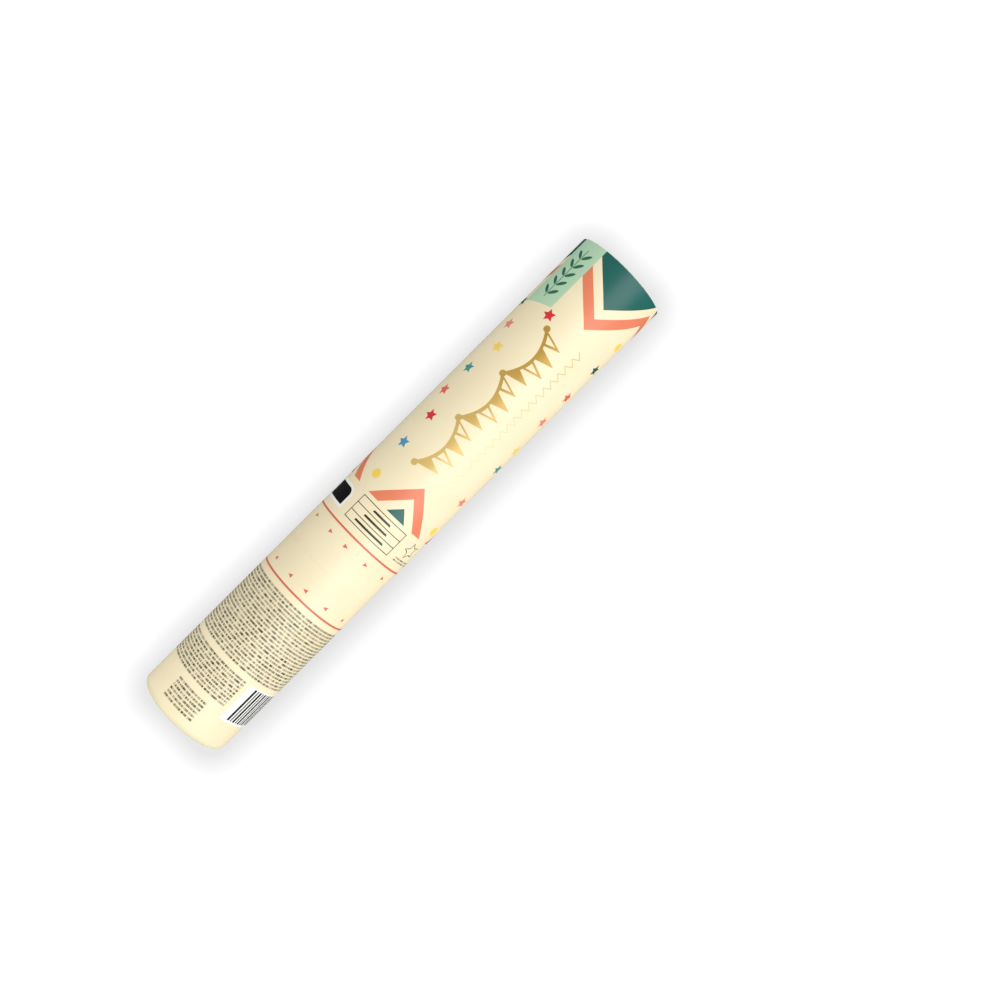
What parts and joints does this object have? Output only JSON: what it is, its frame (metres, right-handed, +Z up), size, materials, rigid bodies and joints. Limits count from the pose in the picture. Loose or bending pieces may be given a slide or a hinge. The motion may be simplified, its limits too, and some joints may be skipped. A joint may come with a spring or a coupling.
{
  "type": "confetti popper",
  "caption": "Cardboard confetti popper tube whose twist base drives a needle into a gas cartridge, which blows the wad, tissue stars and paper cap out of the muzzle.",
  "frame": {"origin": "middle of the popper's footprint, on the surface it lies on", "axes": "+X along the tube from the base towards the muzzle, +Z up, the tube lying on its side"},
  "size_m": [0.3, 0.0506, 0.0506],
  "materials": {
    "tube_board": "matte spiral-wound board",
    "printed_paper": "satin coated paper with print",
    "plug_plastic": "satin moulded",
    "white_plastic": "matte moulded",
    "dark_plastic": "matte moulded",
    "cartridge_steel": "zinc-plated drawn steel",
    "seal_foil": "thin bright disc",
    "black_rubber": "matte",
    "spring_steel": "bright drawn wire and sheet",
    "fibre": "pressed fibre",
    "grey_board": "plain grey board",
    "white_board": "smooth white board",
    "red_tissue": "matte tissue",
    "yellow_tissue": "matte tissue",
    "blue_tissue": "matte tissue",
    "peach_tissue": "matte tissue",
    "orange_tissue": "matte tissue",
    "green_tissue": "matte tissue",
    "mint_tissue": "matte tissue",
    "white_tissue": "matte tissue"
  },
  "bodies": {
    "barrel": {"barrel_tube": "tube_board", "barrel_wrap": "printed_paper", "carrier": "white_plastic", "gas_cartridge": "cartridge_steel", "cartridge_seal": "seal_foil", "neck_ring": "black_rubber", "cartridge_clip": "white_plastic", "retaining_ring": "spring_steel"},
    "base": {"base_tube": "tube_board", "base_wrap": "printed_paper", "base_plug": "plug_plastic", "base_collar": "white_plastic", "thrust_washer": "fibre", "cam_sleeve": "white_plastic", "spring_washer": "spring_steel"},
    "striker": {"striker": "dark_plastic", "needle": "spring_steel", "cross_pin": "spring_steel", "striker_ring": "black_rubber", "firing_spring": "spring_steel"},
    "wad": {"wad_disc": "grey_board"},
    "stars_rear": {"red_stars_rear": "red_tissue", "yellow_stars_rear": "yellow_tissue", "blue_stars_rear": "blue_tissue", "peach_stars_rear": "peach_tissue"},
    "stars_mid_rear": {"orange_stars_mid_rear": "orange_tissue", "green_stars_mid_rear": "green_tissue", "mint_stars_mid_rear": "mint_tissue", "white_stars_mid_rear": "white_tissue"},
    "stars_mid_front": {"red_stars_mid_front": "red_tissue", "yellow_stars_mid_front": "yellow_tissue", "blue_stars_mid_front": "blue_tissue", "peach_stars_mid_front": "peach_tissue"},
    "stars_front": {"orange_stars_front": "orange_tissue", "green_stars_front": "green_tissue", "mint_stars_front": "mint_tissue", "white_stars_front": "white_tissue"},
    "cap": {"muzzle_cap": "white_board"}
  },
  "joints": [
    {"name": "base_twist", "type": "hinge", "parent": "barrel", "child": "base", "pos_m": [-0.1, 0, 0.0253], "axis": [-1, 0, 0], "range_deg": [0, 90]},
    {"name": "striker_slide", "type": "slide", "parent": "barrel", "child": "striker", "axis": [1, 0, 0], "range_m": [0, 0.007], "deforming": ["firing_spring", "cartridge_seal"]},
    {"name": "wad_slide", "type": "slide", "parent": "barrel", "child": "wad", "axis": [1, 0, 0], "range_m": [0, 0.172]},
    {"name": "stars_rear_slide", "type": "slide", "parent": "barrel", "child": "stars_rear", "axis": [1, 0, 0], "range_m": [0, 0.1927]},
    {"name": "stars_mid_rear_slide", "type": "slide", "parent": "barrel", "child": "stars_mid_rear", "axis": [1, 0, 0], "range_m": [0, 0.2236]},
    {"name": "stars_mid_front_slide", "type": "slide", "parent": "barrel", "child": "stars_mid_front", "axis": [1, 0, 0], "range_m": [0, 0.2546]},
    {"name": "stars_front_slide", "type": "slide", "parent": "barrel", "child": "stars_front", "axis": [1, 0, 0], "range_m": [0, 0.2856]},
    {"name": "cap_pop", "type": "slide", "parent": "barrel", "child": "cap", "axis": [1, 0, 0], "range_m": [0, 0.3268]}
  ],
  "couplings": [
    {"joint": "striker_slide", "follows": "base_twist", "m_per_rad": 0.004456},
    {"joint": "stars_rear_slide", "follows": "wad_slide", "ratio": 1.12},
    {"joint": "stars_mid_rear_slide", "follows": "wad_slide", "ratio": 1.3},
    {"joint": "stars_mid_front_slide", "follows": "wad_slide", "ratio": 1.48},
    {"joint": "stars_front_slide", "follows": "wad_slide", "ratio": 1.66},
    {"joint": "cap_pop", "follows": "wad_slide", "ratio": 1.9}
  ]
}
